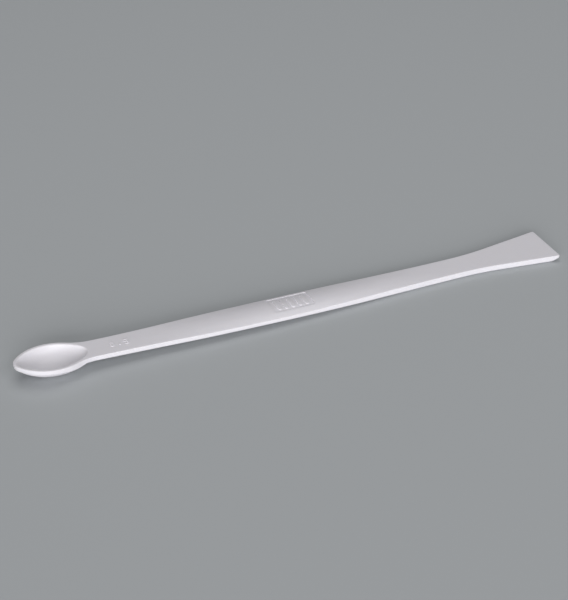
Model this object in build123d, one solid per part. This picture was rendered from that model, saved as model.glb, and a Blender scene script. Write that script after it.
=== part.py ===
from build123d import *
from math import asin, atan, atan2, degrees, hypot, pi, sin
import os

# Lab spatula: a one-piece moulded spoon spatula, as it lies at rest. Millimetres, +Z up.
# Stations are measured along the length from the tip of the bowl. The bowl end is -X.

# overall
length = 180.0
tip_height = 5.65  # top of the rim at the bowl's tip, above the surface it lies on
blade_thickness = 2.05
middle_thickness = 1.46  # at the side edges; the crown adds to it along the centre line
neck_thickness = 1.75
rim_thickness = 1.6  # the handle's plate where it runs on into the bowl
flat_start = 144.0  # from here to the blade's edge the piece lies flat
crown = 0.7  # rise of the handle's top surface above its side edges
crown_start, crown_end = 28.0, 150.0
reach = 12.0  # construction surfaces run this far past the piece

# plan of the handle
neck_x, neck_width = 24.3, 8.85
middle_x, middle_width = 85.0, 11.65
blade_neck_x, blade_neck_width = 146.0, 9.15
bowl_turn, handle_turn = 0.5, 0.42  # where a side curve turns between full and hollow, as a share of its run

# blade
blade_width = 16.9
flare_radius = 97.0
corner_radius = 0.6
bevel_run = 3.3  # underside chisel bevel, measured back from the edge
edge_land = 0.4

# bowl
nose_radius = 3.4
bowl_widest_x, bowl_width = 11.3, 14.6
rim_land = 1.02  # flat top of the rim on each side of the bowl
cavity_tip, cavity_heel, cavity_depth = 0.95, 22.3, 4.2
belly_tip, belly_heel = -1.7, 29.0  # where the underside's curve would reach the rim's plane
belly_spread = 1.12  # and how far it would spread there, against the bowl's width
flank_gap = 0.1  # the sides' own round section passes this far outside the rim
flank_round = 2.0  # and blends into the underside's curve with this radius
egg_front = [(1, 0), (0.938, 0.28), (0.735, 0.6), (0.47, 0.845)]  # shares of the half-length and half-width
cavity_back = [(1, 0), (0.94, 0.31), (0.74, 0.6), (0.48, 0.84)]
belly_back = [(1, 0.44), (0.85, 0.47), (0.7, 0.56), (0.4, 0.86)]  # runs out along the handle's underside

# rounded edges
top_round, under_round, cavity_round = 0.15, 0.65, 0.35

# shallow grip panel with upright ribs at the middle of the handle
panel_x, panel_y, panel_length, panel_width = 88.4, 0.9, 13.6, 8.0
panel_depth = 0.2
panel_corner = 0.8
rib_count, rib_pitch, rib_width, rib_length = 5, 2.3, 1.0, 5.8

# raised capacity number beside the bowl
number_x, number_height, number_rise, number_stroke = 32.2, 2.2, 0.12, 0.38


def top_at(x):
    """Height of the top side edge: flat along the blade, then one gentle bow up to the tip."""
    return blade_thickness + (tip_height - blade_thickness) * (max(flat_start - x, 0) / flat_start) ** 2


def crown_at(x):
    """Rise of the centre line above the side edges."""
    t = (x - crown_start) / (crown_end - crown_start)
    return crown * sin(pi * t) ** 1.3 if 0 < t < 1 else 0.0


def surface_at(x, y):
    return top_at(x) + crown_at(x) * (1 - (2 * y / middle_width) ** 2)


def below_top():
    """Everything under the crowned top surface."""
    xs = [-reach + (length + 2 * reach) * i / 16 for i in range(17)]
    points = [[(x, y, surface_at(x, y)) for y in (-reach, -reach / 2, 0, reach / 2, reach)] for x in xs]
    return extrude(Face.make_surface_from_array_of_points(points), 2 * reach, dir=(0, 0, -1))


def s_curve(start, end, share):
    """Two arcs from one point to another, level at both, turning at a share of the way."""
    turn_at = Vector(*start) + (Vector(*end) - Vector(*start)) * share
    first = TangentArc(start, turn_at, tangent=(1, 0))
    TangentArc(turn_at, end, tangent=first % 1)


def nose_and_side(gap=0.0):
    """The bowl's side in plan from its tip to its widest station, or a line that far outside it."""
    radius, half, back = nose_radius + gap, bowl_width / 2 + gap, bowl_widest_x - nose_radius
    side_radius = (back**2 + half**2 - radius**2) / 2 / (half - radius)
    nose = JernArc((-gap, 0), (0, 1), radius, degrees(atan2(back, side_radius - half)) - 90)
    TangentArc(nose @ 1, (bowl_widest_x, half), tangent=nose % 1)


def outline():
    """Plan of the whole piece: pointed egg bowl, long handle widest at its middle, straight-sided flare."""
    half_bowl, half_neck = bowl_width / 2, neck_width / 2
    half_edge, half_blade_neck = blade_width / 2, blade_neck_width / 2
    run, rise = length - blade_neck_x, half_edge - half_blade_neck
    flare = atan2(rise - flare_radius, run) + asin(flare_radius / hypot(run, rise - flare_radius))
    with BuildSketch() as plan:
        with BuildLine():
            nose_and_side()
            s_curve((bowl_widest_x, half_bowl), (neck_x, half_neck), bowl_turn)
            s_curve((neck_x, half_neck), (middle_x, middle_width / 2), handle_turn)
            s_curve((middle_x, middle_width / 2), (blade_neck_x, half_blade_neck), handle_turn)
            arc = JernArc((blade_neck_x, half_blade_neck), (1, 0), flare_radius, degrees(flare))
            Line(arc @ 1, (length, half_edge))
            Line((length, half_edge), (length, 0))
            mirror(about=Plane.XZ)
        make_face()
        fillet(plan.vertices().filter_by(lambda v: v.X > length - 0.01), corner_radius)
    return plan.sketch


def side_cut():
    """The space under the handle and the chisel bevel, as one band across the whole width."""
    land = blade_thickness - edge_land
    with BuildPart() as band:
        with BuildSketch(Plane.XZ):
            with BuildLine():
                Spline(
                    (-reach, top_at(-reach) - rim_thickness),
                    (bowl_widest_x, top_at(bowl_widest_x) - rim_thickness),
                    (neck_x, top_at(neck_x) - neck_thickness),
                    (middle_x, top_at(middle_x) - middle_thickness),
                    ((middle_x + flat_start) / 2, 0.27 * (top_at(middle_x) - middle_thickness)),
                    (flat_start, 0),
                    tangents=[(1, -0.05), (1, 0)],
                )
                Line((flat_start, 0), (length - bevel_run, 0))
                ThreePointArc(
                    (length - bevel_run, 0), (length - 0.45 * bevel_run, 0.5 * land - 0.05), (length, land)
                )
                Polyline(
                    (length, land), (length + reach, land), (length + reach, -reach), (-reach, -reach),
                    (-reach, top_at(-reach) - rim_thickness),
                )
            make_face()
        extrude(amount=reach, both=True)
    return band.part


def bowl_form(tip, heel, width, depth, egg_back):
    """A hollow's form below the rim's plane, round about an axis above it so that its sides slope."""
    above = (width**2 / 4 - depth**2) / 2 / depth

    def turned_point(end, along, across):
        return (end - bowl_widest_x) * along, above + hypot(above, across * width / 2)

    front = [turned_point(tip, along, across) for along, across in egg_front]
    back = [turned_point(heel, along, across) for along, across in egg_back]
    first, last = (2 * Vector(*side[0]) - Vector(*side[1]) for side in (front, back))
    with BuildSketch(Plane.XZ) as half:
        with BuildLine():
            Spline(first, *front, (0, 2 * above + depth), *reversed(back), last)
            Polyline(last, (last.X, above), (first.X, above), first)
        make_face()
    return at_rim(revolve(half.sketch, Axis((0, 0, above), (1, 0, 0))))


def at_rim(form):
    """A form made about the bowl's widest station, raised to the rim and tilted with it."""
    slope = (top_at(bowl_widest_x - 1) - top_at(bowl_widest_x + 1)) / 2
    return Pos(bowl_widest_x, 0, top_at(bowl_widest_x)) * Rot(Y=degrees(atan(slope))) * form


def flank():
    """Bounds the bowl's sides, which drop from the rim and then round in."""
    half_width = bowl_width / 2 + flank_gap
    with BuildSketch(Plane.XZ) as half:
        with BuildLine():
            nose_and_side(flank_gap)
            end = belly_heel + reach
            Polyline((bowl_widest_x, half_width), (end, half_width), (end, 0), (-flank_gap, 0))
        make_face()
    return at_rim(Pos(X=-bowl_widest_x) * revolve(half.sketch, Axis.X))


def belly():
    """Underside of the bowl; its lowest point touches the surface the piece lies on."""
    egg = bowl_form(belly_tip, belly_heel, belly_spread * bowl_width, top_at(bowl_widest_x), belly_back)
    egg = Pos(Z=-egg.bounding_box().min.Z) * egg
    sides = flank()
    form = egg & sides
    return fillet(new_edges(egg, sides, combined=form), flank_round)


def cavity():
    return bowl_form(cavity_tip, cavity_heel, bowl_width - 2 * rim_land, cavity_depth, cavity_back)


def round_top_edges(piece):
    return fillet([e for e in piece.edges() if all(lies_on_top(e @ t) for t in (0, 0.5, 1))], top_round)


def lies_on_top(point):
    return abs(point.Z - surface_at(point.X, point.Y)) < 0.02


def round_under_edges(piece):
    """The lower side edges, from the bowl's tip to the start of the chisel bevel."""
    def is_lower_side(e):
        lower = e.center().Z < top_at(e.center().X) - 0.75 * middle_thickness
        crosses = abs((e @ 0).Y + (e @ 1).Y) < 0.01 and e.center().X > neck_x
        return lower and not crosses and e.center().X < length - bevel_run

    return fillet(piece.edges().filter_by(is_lower_side), under_round)


def grip_panel():
    """A shallow panel that follows the crown, less the ribs left standing in it."""
    with BuildSketch(Pos(panel_x, panel_y)) as plan:
        RectangleRounded(panel_length, panel_width, panel_corner)
        with GridLocations(rib_pitch, 0, rib_count, 1):
            SlotOverall(rib_length, rib_width, rotation=90, mode=Mode.SUBTRACT)
    return extrude(plan.sketch, reach) - Pos(Z=-panel_depth) * below_top()


def number():
    """A plain 0.5 read along the handle: a ring, a dot and an open five."""
    h = number_height
    r = 0.3 * h
    with BuildSketch(Pos(number_x, 0, top_at(number_x) - neck_thickness / 2)) as marks:
        with Locations((-h, 0)):
            SlotOverall(h, 2 * r, rotation=90)
            SlotOverall(h - 2 * number_stroke, 2 * (r - number_stroke), rotation=90, mode=Mode.SUBTRACT)
        with Locations((0, number_stroke * 0.7 - h / 2)):
            Circle(0.7 * number_stroke)
        with BuildLine():
            flag = Polyline((h + r, h / 2), (h - r, h / 2), (h - r, 0.05 * h), (h, 0.05 * h))
            ThreePointArc(flag @ 1, (h + r, -0.22 * h), (h, -h / 2))
            Line((h, -h / 2), (h - r, -h / 2))
        trace(line_width=number_stroke)
    return extrude(marks.sketch, reach) & Pos(Z=number_rise) * below_top()


def spatula():
    plate = round_top_edges(extrude(outline(), reach) & below_top())
    handle = round_under_edges(plate - side_cut())
    body = handle + (belly() & plate)
    hollow = cavity()
    scooped = body - hollow
    scooped = fillet(new_edges(body, hollow, combined=scooped), cavity_round)
    return Pos(X=-length / 2) * (scooped - grip_panel() + number())


os.makedirs("parts", exist_ok=True)
part = spatula()
part.label = "spatula"
export_step(part, "parts/spatula.step")
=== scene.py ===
import math

import bpy
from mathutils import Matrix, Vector

VIEW_AZIMUTH = -24.5  # degrees; the bearing of the camera and of the main lamp
FLOOR_REACH = 3  # metres from the middle of the floor to each side
FLOOR_GAP = 0.00002  # metres from the floor up to the part, so that they share no plane
SOFTBOX = (3.0, 1.05)  # metres
SOFTBOX_DISTANCE = 2.7

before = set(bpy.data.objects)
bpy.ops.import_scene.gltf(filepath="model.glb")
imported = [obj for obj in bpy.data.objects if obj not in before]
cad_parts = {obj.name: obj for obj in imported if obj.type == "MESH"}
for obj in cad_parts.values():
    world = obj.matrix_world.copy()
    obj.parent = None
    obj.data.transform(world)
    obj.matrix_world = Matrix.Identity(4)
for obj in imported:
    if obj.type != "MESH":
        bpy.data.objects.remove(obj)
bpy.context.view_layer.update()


# ---------------------------------------------------------------- materials

def node(tree, kind, at=(0, 0), **settings):
    """A shader node with its properties, and its inputs by name, set."""
    n = tree.nodes.new(kind)
    n.location = at
    for key, value in settings.items():
        if hasattr(n, key):
            setattr(n, key, value)
        else:
            n.inputs[key.replace("_", " ")].default_value = value
    return n


def link(tree, out, into):
    tree.links.new(out, into)


def white_plastic():
    """Moulded white polystyrene: soft gloss, a faint flow cloudiness and a very fine surface ripple."""
    mat = bpy.data.materials.new("white_plastic")
    mat.use_nodes = True
    tree = mat.node_tree
    tree.nodes.clear()
    out = node(tree, "ShaderNodeOutputMaterial", (900, 0))
    bsdf = node(tree, "ShaderNodeBsdfPrincipled", (600, 0))
    bsdf.inputs["IOR"].default_value = 1.5
    bsdf.inputs["Specular IOR Level"].default_value = 0.36
    bsdf.inputs["Subsurface Weight"].default_value = 0.2
    bsdf.inputs["Subsurface Radius"].default_value = (1.0, 0.95, 0.9)
    bsdf.inputs["Subsurface Scale"].default_value = 0.0015
    where = node(tree, "ShaderNodeTexCoord", (-900, 0))
    stretch = node(tree, "ShaderNodeMapping", (-700, 0))
    stretch.inputs["Scale"].default_value = (0.35, 1.0, 1.0)  # melt flows along the length
    link(tree, where.outputs["Object"], stretch.inputs["Vector"])

    flow = node(tree, "ShaderNodeTexNoise", (-480, 200), Scale=160.0, Detail=3.0, Roughness=0.5)
    link(tree, stretch.outputs["Vector"], flow.inputs["Vector"])
    tint = node(tree, "ShaderNodeMix", (-200, 250), data_type="RGBA")
    tint.inputs["A"].default_value = (0.79, 0.772, 0.815, 1)
    tint.inputs["B"].default_value = (0.81, 0.792, 0.835, 1)
    link(tree, flow.outputs["Fac"], tint.inputs["Factor"])
    link(tree, tint.outputs["Result"], bsdf.inputs["Base Color"])

    gloss = node(tree, "ShaderNodeMapRange", (-200, 0))
    gloss.inputs["To Min"].default_value = 0.27
    gloss.inputs["To Max"].default_value = 0.35
    link(tree, flow.outputs["Fac"], gloss.inputs["Value"])
    link(tree, gloss.outputs["Result"], bsdf.inputs["Roughness"])

    ripple = node(tree, "ShaderNodeTexNoise", (-480, -200), Scale=220.0, Detail=2.0)
    grain = node(tree, "ShaderNodeTexNoise", (-480, -420), Scale=5200.0, Detail=2.0)
    link(tree, stretch.outputs["Vector"], ripple.inputs["Vector"])
    link(tree, where.outputs["Object"], grain.inputs["Vector"])
    wave = node(tree, "ShaderNodeBump", (0, -250), Strength=0.35, Distance=0.00004)
    fine = node(tree, "ShaderNodeBump", (250, -350), Strength=0.12, Distance=0.00001)
    link(tree, ripple.outputs["Fac"], wave.inputs["Height"])
    link(tree, grain.outputs["Fac"], fine.inputs["Height"])
    link(tree, wave.outputs["Normal"], fine.inputs["Normal"])
    link(tree, fine.outputs["Normal"], bsdf.inputs["Normal"])
    link(tree, bsdf.outputs["BSDF"], out.inputs["Surface"])
    return mat


def dress(obj, mat):
    """Gives a piece one material in place of any it has."""
    obj.data.materials.clear()
    obj.data.materials.append(mat)


# ---------------------------------------------------------------- studio

def floor_material():
    """Plain, pale and matt."""
    mat = bpy.data.materials.new("floor")
    mat.use_nodes = True
    bsdf = mat.node_tree.nodes["Principled BSDF"]
    bsdf.inputs["Base Color"].default_value = (0.455, 0.475, 0.49, 1)
    bsdf.inputs["Roughness"].default_value = 0.6
    bsdf.inputs["Specular IOR Level"].default_value = 0.05
    return mat


def build_floor():
    """A wide square under the part."""
    r = FLOOR_REACH
    mesh = bpy.data.meshes.new("floor")
    mesh.from_pydata([(-r, -r, 0), (r, -r, 0), (r, r, 0), (-r, r, 0)], [], [(0, 1, 2, 3)])
    floor = bpy.data.objects.new("floor", mesh)
    floor.location.z = -FLOOR_GAP
    bpy.context.scene.collection.objects.link(floor)
    dress(floor, floor_material())


def area_light(name, at, size, power):
    """A rectangular lamp that faces the origin."""
    data = bpy.data.lights.new(name, "AREA")
    data.shape = "RECTANGLE"
    data.size, data.size_y = size
    data.energy = power
    lamp = bpy.data.objects.new(name, data)
    lamp.location = at
    lamp.rotation_euler = (-Vector(at)).to_track_quat("-Z", "Y").to_euler()
    bpy.context.scene.collection.objects.link(lamp)


def seen_from(azimuth, elevation, distance):
    """A point at that bearing from the origin: azimuth 0 looks along +Y."""
    a, e = math.radians(azimuth), math.radians(elevation)
    return distance * Vector((math.sin(a) * math.cos(e), -math.cos(a) * math.cos(e), math.sin(e)))


def build_world(strength):
    world = bpy.data.worlds.new("studio")
    world.use_nodes = True
    world.node_tree.nodes["Background"].inputs["Color"].default_value = (0.95, 0.96, 1.0, 1)
    world.node_tree.nodes["Background"].inputs["Strength"].default_value = strength
    bpy.context.scene.world = world


def build_camera(azimuth, elevation, distance, lens, across, up, shift):
    """Looks from that bearing, moved that far across the view and up it."""
    back = seen_from(azimuth, elevation, 1)
    right = Vector((-back.y, back.x, 0)).normalized()
    data = bpy.data.cameras.new("camera")
    data.lens = lens
    data.sensor_width = 36
    data.shift_y = shift
    camera = bpy.data.objects.new("camera", data)
    camera.location = distance * back + across * right + up * back.cross(right)
    camera.rotation_euler = back.to_track_quat("Z", "Y").to_euler()
    bpy.context.scene.collection.objects.link(camera)
    bpy.context.scene.camera = camera


dress(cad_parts["spatula"], white_plastic())
build_floor()
area_light("front_low", at=seen_from(VIEW_AZIMUTH, 14, SOFTBOX_DISTANCE), size=SOFTBOX, power=68.0)
area_light("front_high", at=seen_from(5, 40, SOFTBOX_DISTANCE), size=SOFTBOX, power=22.0)
area_light("overhead", at=(0.1, 0.25, 0.9), size=(0.9, 0.9), power=3.5)
build_world(strength=0.03)
build_camera(
    azimuth=VIEW_AZIMUTH, elevation=32.8, distance=0.525, lens=102, across=-0.0038, up=0.0019, shift=0.0075
)

bpy.context.scene.view_settings.view_transform = "Standard"
